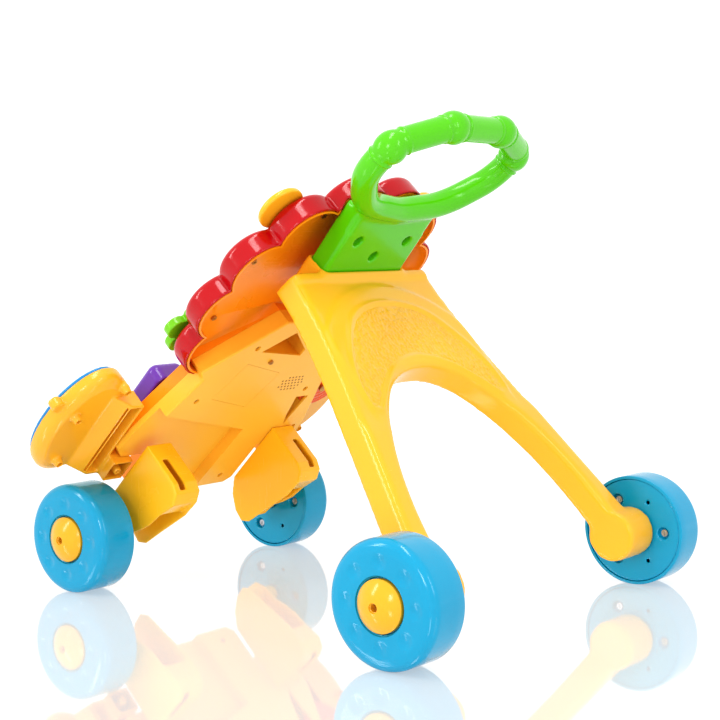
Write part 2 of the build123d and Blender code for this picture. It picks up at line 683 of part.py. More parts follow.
def bar_key():
    """Long rounded push bar with a stem and flange through the front shell."""
    low = BODY_FRONT_N + BAR_TRAVEL + 0.4
    bar = slab(RectangleRounded(44, 54, 10), low, low + BAR_HEIGHT)
    bar = fillet(bar.faces().sort_by(Axis.Z)[-1].edges(), 8)
    bar += slab(RectangleRounded(14, 24, 3.7), BODY_FRONT_N - 7, low + 1)
    bar += slab(RectangleRounded(20, 30, 3.7), BODY_FRONT_N - 7, BODY_FRONT_N - WALL - 0.4)
    return BODY * Pos(BAR_CENTRE[0], BAR_CENTRE[1], 0) * bar


def side_disc():
    """Flat disc with ring grooves, its edge standing out of the housing's right side."""
    disc = rod(DISC_RADIUS, DISC_LOW, DISC_HIGH)
    for radius in (10, 16, 22, 27):
        groove = rod(radius + 1, DISC_LOW - 1, DISC_LOW + 1)
        disc -= groove - rod(radius - 1, DISC_LOW - 1, DISC_LOW + 1)
    disc -= rod(3.07, DISC_LOW - 1, DISC_HIGH + 1)
    return BODY * Pos(DISC_CENTRE[0], DISC_CENTRE[1], 0) * disc


def side_disc_pin():
    """Headed pin pressed into the front shell under the disc."""
    pin = rod(3.0, DISC_LOW - 1, BODY_FRONT_N - 2.2) + rod(5.5, DISC_LOW - 3, DISC_LOW - 0.4)
    return BODY * Pos(DISC_CENTRE[0], DISC_CENTRE[1], 0) * pin


def key(spot):
    """Round push key with a flange under the front face."""
    top = BODY_FRONT_N + 8
    cap = rod(KEY_RADIUS, KEY_FOOT_N, top - 2, spot)
    cap += cone(KEY_RADIUS, KEY_RADIUS - 3, top - 2, 2.0, spot)
    cap += rod(KEY_RADIUS + 2, BODY_FRONT_N - WALL - 2.3, BODY_FRONT_N - WALL - 0.3, spot)
    return BODY * cap


# ---- front legs and paws ------------------------------------------------------------------
LEG_INNER_X = 78.0
LEG_OUTER_X = 112.0
LEG_WALL = 3.0
LEG_SLOT_X = 100.0
LEG_TOP_N = BODY_BACK_N - 0.2
BEND = [(142, 14), (137.5, 4), (126, -1), (104, 5)]
OUTER_CHEEK = [(142, LEG_TOP_N)] + BEND + [(84, 8), (70, 13), (56, 20), (38, 22), (24, 30)]
OUTER_CHEEK += [(21, 44), (28, LEG_TOP_N)]
INNER_CHEEK = [(142, LEG_TOP_N), (142, 14), (137.5, 4), (126, -1.5), (103, -0.5), (63, 10), (38, 16)]
INNER_CHEEK += [(30, 24), (32, 38), (42, 54), (58, LEG_TOP_N)]
REAR_WALL = [(142, LEG_TOP_N)] + BEND + [(104.8, 8), (125, 2.2), (135, 6.5), (139, 15)]
REAR_WALL += [(139, LEG_TOP_N)]
BOSS_ROOT_X = 96.0


def side_view(points, x_low, x_high):
    """Extrude a (u, n) side view across part of the width."""
    face_2d = make_face(Polyline(*[(x_low, u, n) for u, n in points], close=True))
    return extrude(face_2d, amount=x_high - x_low, dir=(1, 0, 0))


def leg_box(side):
    """Hollow leg under the body: two cheeks, a curved slotted rear wall, a roof and an axle boss."""
    leg = side_view(OUTER_CHEEK, LEG_OUTER_X - LEG_WALL, LEG_OUTER_X)
    leg += side_view(INNER_CHEEK, LEG_INNER_X, LEG_INNER_X + LEG_WALL)
    leg += side_view(REAR_WALL, LEG_INNER_X, LEG_OUTER_X)
    leg += block((LEG_INNER_X, 62, LEG_TOP_N - LEG_WALL), (LEG_OUTER_X, 142, LEG_TOP_N))
    leg -= block((LEG_SLOT_X - 4, 132, 8), (LEG_SLOT_X + 4, 150, 46))
    leg += x_rod(9.5, BOSS_ROOT_X, FRONT_WHEEL_INNER_X - 0.4, AXLE_UN)
    leg -= x_rod(PIN_RADIUS + 0.02, BOSS_ROOT_X - 1, FRONT_WHEEL_INNER_X + 1, AXLE_UN)
    placed = BODY * leg
    return placed if side > 0 else mirror(placed, about=Plane.YZ)


AXLE_UN = (WHEEL_RADIUS * SLOPE, WHEEL_RADIUS * SLOPE)
PAW_CENTRE = (174.0, 141.0)
PAW_HALF = (43.0, 72.0)
PAW_BACK_N = 98.0
PAW_RIM_N = 116.0
PAW_PEGS = [(155.5, 197.5), (197.0, 161.0), (182.6, 95.0)]
PAW_TAB = (217.0, 168.0)
ARM_LOW_N = 82.0
ARM = [(131.4, ARM_LOW_N), (148, ARM_LOW_N), (166, 100), (166, 104), (131.4, 104)]
ARM_HOLLOW = [(134, ARM_LOW_N - 2), (146, ARM_LOW_N - 2), (160, 96.5), (160, 101), (134, 101)]
BRACKET_BOSS = (120.0, 97.0)


def paw_face(scale):
    """Oval paw outline, scaled about its middle."""
    return Pos(*PAW_CENTRE) * Ellipse(PAW_HALF[0] * scale, PAW_HALF[1] * scale)


def paw_solid(inset, low, high):
    """Bowl-shaped solid between the smaller rear oval and the full rim."""
    shrink = inset / 50
    levels = [(0, 0.80), (0.14, 0.88), (0.36, 0.945), (0.62, 0.97)]
    sections = [
        Pos(0, 0, low + (high - low) * part) * paw_face(scale - shrink) for part, scale in levels
    ]
    bowl = loft(sections)
    return bowl + slab(paw_face(0.97 - shrink), low + (high - low) * 0.62, high)


def profile_along_u(points, low, high):
    """Extrude an (x, n) cross-section along the slope."""
    section = make_face(Polyline(*[(x, low, n) for x, n in points], close=True))
    return extrude(section, amount=high - low, dir=(0, 1, 0))


def paw(side):
    """Bowl over a front wheel: three screw pegs, an edge tab, an arm and a bracket to the leg."""
    arm = profile_along_u(ARM, 84, 186) - profile_along_u(ARM_HOLLOW, 87, 183)
    bracket = block((106, 84, 71), (132, 111, 98)) - block((108.5, 86.5, 70), (131, 108.5, 95.5))
    shell = paw_solid(0, PAW_BACK_N, PAW_RIM_N) + arm + bracket
    shell += rod(6.5, 105, PAW_RIM_N, PAW_TAB)
    shell -= paw_solid(3.2, PAW_BACK_N + WALL, PAW_RIM_N + 1)
    for spot in PAW_PEGS:
        shell += rod(5.0, PAW_BACK_N - 1, PAW_RIM_N - 3, spot)
        shell += cone(3.9, 5.6, PAW_BACK_N - 8, 9, spot)
    shell += rod(4.6, 70, 97, BRACKET_BOSS)
    shell -= rod(2.0, 69, 90, BRACKET_BOSS)
    for spot in PAW_PEGS:
        shell -= rod(3.0, PAW_BACK_N - 9, PAW_BACK_N + 2, spot)
        shell -= rod(1.6, PAW_BACK_N, PAW_RIM_N, spot)
    placed = BODY * shell
    return placed if side > 0 else mirror(placed, about=Plane.YZ)


def paw_pad(side):
    """Soft-cornered pad closing the front of the paw."""
    pad = slab(paw_face(0.93), PAW_RIM_N + 0.2, PAW_RIM_N + 4)
    crown = [Pos(0, 0, PAW_RIM_N + 4) * paw_face(0.93), Pos(0, 0, PAW_RIM_N + 8) * paw_face(0.72)]
    pad += loft(crown)
    for spot in PAW_PEGS:
        pad -= rod(1.45, PAW_RIM_N, PAW_RIM_N + 3, spot)
    placed = BODY * pad
    return placed if side > 0 else mirror(placed, about=Plane.YZ)


def paw_screws(side):
    """Screws from behind, through the pegs into the pad."""
    group = Part() + [Pos(x, u, PAW_BACK_N + 1.9) * screw(18, 2.8, 1.4) for x, u in PAW_PEGS]
    placed = BODY * group
    return placed if side > 0 else mirror(placed, about=Plane.YZ)


# ---- write every node ---------------------------------------------------------------------
def main():
    for name in WHEELS:
        save(f"wheel_shell_{name}", place_wheel(wheel_shell(), name))
        save(f"wheel_disc_{name}", place_wheel(wheel_disc(), name))
        save(f"wheel_screws_{name}", place_wheel(wheel_screws(), name))
        save(f"hub_cap_{name}", place_wheel(hub_cap(), name))
        save(f"axle_pin_{name}", axle_pin(name))
    save("rear_frame", rear_frame())
    upper, lower = handle_halves()
    save("handle_upper_half", upper)
    save("handle_lower_half", lower)
    save("handle_screws", handle_screws())
    single = (back_cover, front_shell, battery_door, batteries, battery_contacts, circuit_board)
    single += (key_membrane, speaker, body_screws, door_screw, mane, face, nose_button, nose_switch)
    single += (eyes, mane_screws, flower_spinner, flower_pin, bar_key, side_disc, side_disc_pin)
    for make in single:
        save(make.__name__, make())
    for number, spot in enumerate(KEY_PLACES, 1):
        save(f"key_{number}", key(spot))
    for word, side in SIDES.items():
        for make in (ear, leg_box, paw, paw_pad, paw_screws):
            save(f"{make.__name__}_{word}", make(side))


main()
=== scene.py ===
"""Looks for the push-along baby walker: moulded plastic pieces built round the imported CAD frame.

Metres, +Z up, the child stands at +Y.  Sections follow the walker as it is put together.
"""
from math import atan2, cos, exp, pi, radians, sin, sqrt, tan
import bmesh
import bpy
from mathutils import Matrix, Vector, noise


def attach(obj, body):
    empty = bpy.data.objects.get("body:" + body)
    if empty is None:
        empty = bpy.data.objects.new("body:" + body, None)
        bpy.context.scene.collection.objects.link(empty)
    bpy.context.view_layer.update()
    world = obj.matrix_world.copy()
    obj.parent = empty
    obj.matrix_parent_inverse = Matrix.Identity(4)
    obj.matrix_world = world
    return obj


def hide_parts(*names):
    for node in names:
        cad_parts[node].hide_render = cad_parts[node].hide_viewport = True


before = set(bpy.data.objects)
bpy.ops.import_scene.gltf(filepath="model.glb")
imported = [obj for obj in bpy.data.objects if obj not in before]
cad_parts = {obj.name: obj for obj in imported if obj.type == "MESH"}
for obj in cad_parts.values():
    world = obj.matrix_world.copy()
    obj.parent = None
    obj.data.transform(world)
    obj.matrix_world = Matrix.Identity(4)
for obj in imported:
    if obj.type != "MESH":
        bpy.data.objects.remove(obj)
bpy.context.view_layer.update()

# ---- Wheels --------------------------------------------------------------------------------
# Four blow-moulded cups of glossy blue plastic, each closed on the inside by a screwed disc.
# A yellow domed cap snaps over the pin head.  Cups and caps are turned shapes, spun about X.
MM = 0.001
WHEEL_RADIUS = 55.0
CUP_WIDTH = 42.0
CAP_SEAT = 37.5
CAP_RADIUS = 22.6
CAP_TIP = 51.0
DIMPLES = 8
WHEELS = {
    "front_left": (132.8, -220.4, 1),
    "front_right": (132.8, -220.4, -1),
    "rear_left": (187.1, 220.4, 1),
    "rear_right": (187.1, 220.4, -1),
}


class Shade:
    """A value inside a material.  Sums and products of shades add their own Math nodes."""

    def __init__(self, tree, socket=None):
        self.tree = tree
        self.socket = socket

    def node(self, kind, settings=None, sockets=None, out=0):
        made = self.tree.nodes.new("ShaderNode" + kind)
        for key, value in (settings or {}).items():
            if key != "stops":
                setattr(made, key, value)
                continue
            ramp = made.color_ramp
            while len(ramp.elements) < len(value):
                ramp.elements.new(0.5)
            for element, (place, colour) in zip(ramp.elements, value):
                element.position = place
                element.color = colour
        for key, value in (sockets or {}).items():
            if isinstance(value, Shade):
                self.tree.links.new(value.socket, made.inputs[key])
            else:
                made.inputs[key].default_value = value
        return Shade(self.tree, made.outputs[out])

    def maths(self, operation, first, second):
        return self.node("Math", {"operation": operation}, {0: first, 1: second})

    def __add__(self, other):
        return self.maths("ADD", self, other)

    def __sub__(self, other):
        return self.maths("SUBTRACT", self, other)

    def __rsub__(self, other):
        return self.maths("SUBTRACT", other, self)

    def __mul__(self, other):
        return self.maths("MULTIPLY", self, other)

    __radd__ = __add__
    __rmul__ = __mul__

    def blend(self, first, second):
        """Mix two colours by this value."""
        return self.node("Mix", {"data_type": "RGBA"}, {0: self, 6: first, 7: second}, 2)

    def band(self, low, high):
        """Stretch the range low..high of this value over 0..1, clamped."""
        return self.node("MapRange", {}, {0: self, 1: low, 2: high, 3: 0.0, 4: 1.0})


def moulded(name, colour, deep, roughness=0.24, peel=0.00006, grain=0.0, grain_scale=2600, coat=0.1):
    """Moulded plastic: flow marks in the pigment, handling haze in the gloss, peel or spark grain."""
    finish = bpy.data.materials.new(name)
    finish.use_nodes = True
    tree = finish.node_tree
    shader = tree.nodes["Principled BSDF"]
    at = Shade(tree).node("TexCoord", out=3)
    flow = at.node("TexNoise", {}, {"Vector": at, "Scale": 7.0, "Detail": 3.0, "Distortion": 0.8})
    fleck = at.node("TexNoise", {}, {"Vector": at, "Scale": 420.0, "Detail": 2.0})
    pigment = (flow.band(0.3, 0.7) * 0.8 + fleck.band(0.35, 0.75) * 0.2).blend(
        (*colour, 1), (*deep, 1)
    )
    haze = at.node("TexNoise", {}, {"Vector": at, "Scale": 26.0, "Detail": 4.0, "Roughness": 0.6})
    stretched = at.node("Mapping", {}, {"Vector": at, "Rotation": (0.3, 0.9, 0.4), "Scale": (1, 14, 1)})
    scuffs = at.node("TexNoise", {}, {"Vector": stretched, "Scale": 38.0, "Detail": 5.0})
    gloss = haze.band(0.35, 0.75) * 0.07 + scuffs.band(0.6, 0.74) * 0.06 + (roughness - 0.04)
    ripple = at.node("TexNoise", {}, {"Vector": at, "Scale": 120.0, "Detail": 1.0})
    height = ripple * peel
    if grain:
        spark = at.node("TexVoronoi", {}, {"Vector": at, "Scale": grain_scale})
        height = height + spark * grain
    relief = at.node("Bump", {}, {"Height": height, "Strength": 1.0, "Distance": 1.0})
    tree.links.new(pigment.socket, shader.inputs["Base Color"])
    tree.links.new(gloss.socket, shader.inputs["Roughness"])
    tree.links.new(relief.socket, shader.inputs["Normal"])
    shader.inputs["Coat Weight"].default_value = coat
    shader.inputs["Coat Roughness"].default_value = 0.12
    shader.inputs["IOR"].default_value = 1.42
    return finish


def plated(name, colour, roughness=0.3):
    """Zinc or nickel plating: turning marks in the gloss and a cloudy tint."""
    finish = bpy.data.materials.new(name)
    finish.use_nodes = True
    tree = finish.node_tree
    shader = tree.nodes["Principled BSDF"]
    at = Shade(tree).node("TexCoord", out=3)
    cloud = at.node("TexNoise", {}, {"Vector": at, "Scale": 160.0, "Detail": 4.0})
    tint = cloud.band(0.3, 0.7).blend((*colour, 1), (*[c * 0.72 for c in colour], 1))
    gloss = cloud.band(0.2, 0.8) * 0.18 + roughness
    tree.links.new(tint.socket, shader.inputs["Base Color"])
    tree.links.new(gloss.socket, shader.inputs["Roughness"])
    shader.inputs["Metallic"].default_value = 1.0
    return finish


def finished(name, mesh_data, finish, body, nodes=(), sharp=38):
    """Make a shaded piece from a bmesh.  It rides on a body and stands for any CAD nodes."""
    mesh = bpy.data.meshes.new(name)
    mesh_data.to_mesh(mesh)
    mesh_data.free()
    mesh.shade_smooth()
    mesh.set_sharp_from_angle(angle=radians(sharp))
    mesh.materials.append(finish)
    piece = bpy.data.objects.new(name, mesh)
    bpy.context.scene.collection.objects.link(piece)
    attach(piece, body)
    if nodes:
        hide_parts(*nodes)
    return piece


def refinish(finish, *nodes):
    """Give carried-over CAD nodes a material."""
    for node in nodes:
        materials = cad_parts[node].data.materials
        materials.clear()
        materials.append(finish)


def arc(along, radius, bend, start, end, steps=8):
    """Points of a rounded corner in a half-section, angles in degrees."""
    angles = [radians(start + (end - start) * i / steps) for i in range(steps + 1)]
    return [(along + bend * cos(a), radius + bend * sin(a)) for a in angles]


def turned(section, steps=120):
    """Spin a closed half-section of (along, radius) pairs in millimetres about X."""
    bm = bmesh.new()
    ring = [bm.verts.new((a * MM, r * MM, 0)) for a, r in section]
    edges = [bm.edges.new((ring[i - 1], ring[i])) for i in range(len(ring))]
    bmesh.ops.spin(
        bm, geom=ring + edges, cent=(0, 0, 0), axis=(1, 0, 0), angle=2 * pi, steps=steps,
        use_merge=True,
    )
    bmesh.ops.remove_doubles(bm, verts=bm.verts, dist=1e-6)
    bmesh.ops.recalc_face_normals(bm, faces=bm.faces)
    return bm


def dimpled(bm):
    """Press a ring of shallow thumb dimples into the outer face round the hub."""
    for vert in bm.verts:
        if vert.co.x < (CUP_WIDTH - 2.5) * MM:
            continue
        radius = sqrt(vert.co.y ** 2 + vert.co.z ** 2) / MM
        turn = atan2(vert.co.z, vert.co.y) * DIMPLES / (2 * pi)
        swing = (turn - round(turn)) * 2 * pi / DIMPLES * radius
        near = (swing ** 2 + (radius - 36.0) ** 2) / 7.4 ** 2
        if near < 1:
            vert.co.x -= 1.5 * MM * (1 - near) ** 1.4
    return bm


def at_corner(bm, name):
    """Move a piece turned about X to its corner of the walker, mirrored on the right."""
    inner, axle, side = WHEELS[name]
    bmesh.ops.translate(bm, verts=bm.verts, vec=(inner * MM, axle * MM, WHEEL_RADIUS * MM))
    if side < 0:
        bmesh.ops.scale(bm, verts=bm.verts, vec=(-1, 1, 1))
        bmesh.ops.reverse_faces(bm, faces=bm.faces)
    return bm


blue = moulded("wheel_blue", (0.002, 0.35, 0.58), (0.002, 0.31, 0.53), roughness=0.16, coat=0.12)
cap_yellow = moulded("cap_yellow", (0.88, 0.46, 0.02), (0.85, 0.42, 0.016), roughness=0.2)
steel = plated("zinc_steel", (0.62, 0.63, 0.66))

rim = (CUP_WIDTH - 9.0, WHEEL_RADIUS - 8.5)
cup_section = [(0, 52), (0, 54.2)] + arc(0.8, 54.2, 0.8, 180, 90, 3) + [(12, 55), (24, 55)]
cup_section += arc(rim[0], rim[1], 8.5, 90, 12, 12)
cup_section += [(CUP_WIDTH - 0.4, 46.5), (CUP_WIDTH - 0.15, 45), (CUP_WIDTH - 0.05, 44)]
cup_section += [(CUP_WIDTH, r) for r in (43, 42, 41, 40, 39, 38, 37, 36, 35, 34, 33, 32, 31, 30, 29)]
cup_section += [(CUP_WIDTH, 28), (CUP_WIDTH, 25)] + arc(CUP_WIDTH - 1, 23.9, 1, 90, 180, 3)[1:]
cup_section += [(CAP_SEAT, 22.9), (CAP_SEAT, 4.05), (0, 4.05), (0, 9), (34.5, 9), (34.5, 26)]
cup_section += [(39, 26)] + arc(rim[0], rim[1], 5.5, 12, 90, 6)

ball = 34.0
cap_centre = CAP_TIP - ball
cap_section = [(CAP_SEAT + 0.2, 3.4), (CAP_SEAT + 0.2, CAP_RADIUS - 0.2)]
cap_section += [(CUP_WIDTH + 0.6, CAP_RADIUS - 0.2)]
cap_section += arc(cap_centre, 0, ball, 38.5, 7.2, 14) + arc(CAP_TIP - 1.2, 3.4, 0.9, 60, 180, 4)[1:]
cap_section = [p for p in cap_section if p[0] > CAP_SEAT]

for name in WHEELS:
    body = "wheel_" + name
    cup = at_corner(dimpled(turned(cup_section)), name)
    finished(name + "_wheel_cup", cup, blue, body, ["wheel_shell_" + name])
    cap = at_corner(turned(cap_section, 72), name)
    finished(name + "_hub_cap", cap, cap_yellow, body, ["hub_cap_" + name])
    refinish(steel, "wheel_screws_" + name, "axle_pin_" + name)


def from_cad(*nodes):
    """A welded copy of CAD nodes' meshes."""
    bm = bmesh.new()
    for node in nodes:
        bm.from_mesh(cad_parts[node].data)
    bmesh.ops.remove_doubles(bm, verts=bm.verts, dist=1e-5)
    return bm


def cast(bm, voxel, passes):
    """Run closed shapes together into one skin with the soft edges of a moulding."""
    mesh = bpy.data.meshes.new("casting")
    bm.to_mesh(mesh)
    bm.free()
    blank = bpy.data.objects.new("casting", mesh)
    bpy.context.scene.collection.objects.link(blank)
    remesh = blank.modifiers.new("skin", "REMESH")
    remesh.mode = "VOXEL"
    remesh.voxel_size = voxel
    bpy.context.view_layer.update()
    result = blank.evaluated_get(bpy.context.evaluated_depsgraph_get()).to_mesh()
    skin = bmesh.new()
    skin.from_mesh(result)
    bpy.data.objects.remove(blank)
    bpy.data.meshes.remove(mesh)
    for _ in range(passes):
        bmesh.ops.smooth_vert(
            skin, verts=skin.verts, factor=0.5, use_axis_x=True, use_axis_y=True, use_axis_z=True
        )
    return skin


for name in WHEELS:
    disc = cast(from_cad("wheel_disc_" + name), 0.0009, 3)
    finished(name + "_wheel_disc", disc, blue, "wheel_" + name, ["wheel_disc_" + name])

# ---- Rear frame ----------------------------------------------------------------------------
# One hollow yellow moulding: arched legs, wheel bosses, a collar round the handle and a neck.
# Its rear face has a raised arch band and a sunken panel with a crinkled leather texture.
FLOOR_FRONT = Vector((0, -0.2204, 0))


def local_axes(z_axis):
    """Matrix from a working plane (x across, y along, z out of it) to the walker."""
    z_axis = Vector(z_axis)
    x_axis = Vector((1, 0, 0))
    y_axis = z_axis.cross(x_axis)
    turn = Matrix((x_axis, y_axis, z_axis)).transposed().to_4x4()
    return Matrix.Translation(FLOOR_FRONT) @ turn


FRAME = local_axes((0, sin(radians(51)), cos(radians(51))))
TO_FRAME = FRAME.inverted()
FRAME_REAR = 0.394
REAR_WALL_DEPTH = 0.0045
BAND = [
    (-112, 70), (-108, -15), (-88, -45), (-51, -68), (0, -78), (51, -68), (88, -45), (108, -15),
    (112, 70),
]
PANEL_TOP = [
    (-107, 58), (-104, 32), (-88, -2), (-54, -40), (0, -53), (54, -40), (88, -2), (104, 32),
    (107, 58),
]
PANEL_DEPTH = 2.6
PANEL_LOW = [(98, 62), (76, 42), (44, 19), (0, 8), (-44, 19), (-76, 42), (-98, 62)]


def smooth_line(points, steps=10):
    """Sample a Catmull-Rom curve through (x, s) points in millimetres."""
    line = []
    last = len(points) - 1
    for i in range(last):
        p0, p1 = points[max(i - 1, 0)], points[i]
        p2, p3 = points[i + 1], points[min(i + 2, last)]
        for k in range(steps):
            t = k / steps
            line.append(tuple(
                0.5 * (2 * b + (c - a) * t + (2 * a - 5 * b + 4 * c - d) * t * t
                       + (3 * b - a - 3 * c + d) * t ** 3)
                for a, b, c, d in zip(p0, p1, p2, p3)
            ))
    return line + [tuple(points[last])]


def nearest(line, x, y):
    """Signed distance in millimetres to a sampled line, positive on its left side."""
    best = 1e9
    side = 1
    for (ax, ay), (bx, by) in zip(line, line[1:]):
        dx, dy = bx - ax, by - ay
        t = ((x - ax) * dx + (y - ay) * dy) / (dx * dx + dy * dy)
        t = min(1, max(0, t))
        gap = (x - ax - t * dx) ** 2 + (y - ay - t * dy) ** 2
        if gap < best:
            best = gap
            side = 1 if dx * (y - ay) - dy * (x - ax) > 0 else -1
    return side * sqrt(best)


def ease(value):
    """Smooth step from 0 to 1."""
    value = min(1, max(0, value))
    return value * value * (3 - 2 * value)


def outer_skin(bm):
    """Drop the closed cavities inside a hollow moulding, keeping its largest connected surface."""
    unseen = set(bm.verts)
    shells = []
    while unseen:
        shell = set()
        queue = [unseen.pop()]
        while queue:
            vert = queue.pop()
            shell.add(vert)
            for edge in vert.link_edges:
                other = edge.other_vert(vert)
                if other in unseen:
                    unseen.remove(other)
                    queue.append(other)
        shells.append(shell)
    largest = max(shells, key=lambda shell: max(v.co.x for v in shell) - min(v.co.x for v in shell))
    inner = [vert for vert in bm.verts if vert not in largest]
    bmesh.ops.delete(bm, geom=inner, context="VERTS")
    return bm


yellow = moulded("frame_yellow", (0.96, 0.50, 0.026), (0.94, 0.46, 0.02), roughness=0.22)
hollow = outer_skin(from_cad("rear_frame"))
bmesh.ops.transform(hollow, matrix=TO_FRAME, verts=hollow.verts)
skin = cast(hollow, 0.002, 7)
bmesh.ops.transform(skin, matrix=FRAME, verts=skin.verts)
band_line = smooth_line(BAND, 6)
panel_line = smooth_line(PANEL_TOP, 6) + smooth_line(PANEL_LOW, 6)
panel_line.append(panel_line[0])
outward = Vector((0, sin(radians(51)), cos(radians(51))))
for vert in skin.verts:
    local = TO_FRAME @ vert.co
    if local.z < FRAME_REAR - REAR_WALL_DEPTH or local.y > 0.09 or local.y < -0.088:
        continue
    x, s = local.x / MM, local.y / MM
    inside = nearest(band_line, x, s)
    lift = ease((inside + 2.5) / 5) * ease((86 - s) / 30)
    lip = exp(-((nearest(panel_line, x, s) + 2.2) / 2.2) ** 2) if s < 75 else 0
    shift = (1.7 * lift + 1.5 * lip - PANEL_DEPTH) * ease((90 - s) / 28) * ease((s + 88) / 8)
    vert.co += outward * shift * MM * ease((local.z - FRAME_REAR + REAR_WALL_DEPTH) / 0.002)
for _ in range(2):
    bmesh.ops.smooth_vert(
        skin, verts=skin.verts, factor=0.5, use_axis_x=True, use_axis_y=True, use_axis_z=True
    )
finished("frame_moulding", skin, yellow, "chassis", ["rear_frame"])

panel = bmesh.new()
bmesh.ops.create_grid(panel, x_segments=170, y_segments=92, size=1)
bmesh.ops.scale(panel, verts=panel.verts, vec=(0.108, 0.059, 1))
outside = []
for vert in panel.verts:
    x, s = vert.co.x / MM, vert.co.y / MM + 4
    depth = nearest(panel_line, x, s)
    if depth < -0.8:
        outside.append(vert)
        continue
    cells = noise.voronoi(Vector((x * 0.22, s * 0.22, 0.4)))[0]
    folds = min(1.0, (cells[1] - cells[0]) * 2.2)
    waves = noise.noise(Vector((x * 0.09, s * 0.09, 3.0)))
    rise = (1.35 * folds + 0.5 * waves + 0.25) * ease(abs(depth) / 4)
    rise -= 0.6 * (1 - ease(abs(depth) / 2.5))
    vert.co = FRAME @ Vector((x * MM, s * MM, FRAME_REAR + (rise - PANEL_DEPTH) * MM))
bmesh.ops.delete(panel, geom=outside, context="VERTS")
bmesh.ops.recalc_face_normals(panel, faces=panel.faces)
finished("leather_panel", panel, yellow, "chassis", sharp=180)

# ---- Hand ring and root --------------------------------------------------------------------
# Glossy green hollow moulding in two halves, fixed in the collar by three recessed screws.
# The ring is a swept tube with barrel-shaped knuckles and a thin collar on each side of them.
RING = local_axes((0, -sin(radians(37.5)), cos(radians(37.5))))
RING_LIFT = 123.4
KNUCKLES = [(38.0, 577.3), (95.9, 545.8)]
RING_CORNERS = [
    (-42, 579), (42, 579), (101, 552), (101, 512), (62, 470), (0, 461), (-62, 470), (-101, 512),
    (-101, 552),
]
RING_ROUNDS = [60, 60, 24, 45, 70, 90, 70, 45, 24]
TUBE_RADIUS = 12.5


def rounded_loop(corners, rounds, spacing):
    """Sample a closed polygon with rounded corners, evenly along its length."""
    dense = []
    for i, corner in enumerate(corners):
        here = Vector(corner)
        before = (Vector(corners[i - 1]) - here).normalized()
        after = (Vector(corners[(i + 1) % len(corners)]) - here).normalized()
        half = before.angle(after) / 2
        reach = rounds[i] / tan(half)
        middle = here + (before + after).normalized() * rounds[i] / sin(half)
        start, end = here + before * reach - middle, here + after * reach - middle
        for k in range(25):
            spoke = start.lerp(end, k / 24).normalized() * rounds[i]
            dense.append(middle + spoke)
    dense.append(dense[0])
    lengths = [(b - a).length for a, b in zip(dense, dense[1:])]
    count = round(sum(lengths) / spacing)
    points = []
    travelled, i = 0.0, 0
    for k in range(count):
        target = sum(lengths) * k / count
        while travelled + lengths[i] < target:
            travelled += lengths[i]
            i += 1
        points.append(dense[i].lerp(dense[i + 1], (target - travelled) / max(lengths[i], 1e-9)))
    return points


def ring_radius(gap):
    """Tube radius at a distance along the ring from the nearest knuckle."""
    if gap < 9.3:
        return max(TUBE_RADIUS, sqrt(15.6 ** 2 - gap ** 2))
    return TUBE_RADIUS + 0.9 * exp(-((gap - 12.6) / 0.9) ** 4)


def swept_ring():
    """Extrude a circle round the rounded loop, swelling into the knuckles."""
    path = rounded_loop(RING_CORNERS, RING_ROUNDS, 0.8)
    centres = [Vector((side * x, y)) for x, y in KNUCKLES for side in (1, -1)]
    bm = bmesh.new()
    bmesh.ops.create_circle(bm, radius=1, segments=56)
    loop = list(bm.verts)
    circle = [vert.co.copy() for vert in loop]
    edges = list(bm.edges)
    for i in range(len(path) + 1):
        point = path[i % len(path)]
        tangent = (path[(i + 1) % len(path)] - path[i - 1 if i < len(path) else -1]).normalized()
        across = Vector((tangent.y, -tangent.x, 0))
        radius = ring_radius(min((point - centre).length for centre in centres))
        if i:
            grown = bmesh.ops.extrude_edge_only(bm, edges=edges)["geom"]
            edges = [item for item in grown if isinstance(item, bmesh.types.BMEdge)]
            fresh = {item for item in grown if isinstance(item, bmesh.types.BMVert)}
            order = {}
            for vert in fresh:
                for edge in vert.link_edges:
                    other = edge.other_vert(vert)
                    if other not in fresh:
                        order[other] = vert
            edges = [edge for edge in edges if set(edge.verts) <= fresh]
            loop = [order[vert] for vert in loop]
        for vert, spoke in zip(loop, circle):
            flat = Vector((point.x, point.y, RING_LIFT)) + across * spoke.x * radius
            vert.co = RING @ ((flat + Vector((0, 0, spoke.y * radius))) * MM)
    bmesh.ops.remove_doubles(bm, verts=bm.verts, dist=2e-5)
    bmesh.ops.recalc_face_normals(bm, faces=bm.faces)
    return bm


green = moulded("handle_green", (0.11, 0.57, 0.003), (0.09, 0.52, 0.002), roughness=0.2)
finished("ring_tube", swept_ring(), green, "chassis")
handle_skin = cast(from_cad("handle_upper_half", "handle_lower_half"), 0.0012, 4)
to_ring = RING.inverted()
bmesh.ops.bisect_plane(
    handle_skin, geom=handle_skin.verts[:] + handle_skin.edges[:] + handle_skin.faces[:],
    plane_co=RING @ Vector((0, 0.474, RING_LIFT * MM)), plane_no=RING.to_3x3() @ Vector((0, 1, 0)),
    clear_outer=True,
)
valley = [
    v for v in handle_skin.verts
    if 436 < (to_ring @ v.co).y / MM < 472 and abs(v.co.x) < 0.075
]
for _ in range(30):
    bmesh.ops.smooth_vert(
        handle_skin, verts=valley, factor=0.5, use_axis_x=True, use_axis_y=True, use_axis_z=True
    )
handle_nodes = ["handle_upper_half", "handle_lower_half"]
finished("handle_root", handle_skin, green, "chassis", handle_nodes)
refinish(steel, "handle_screws")

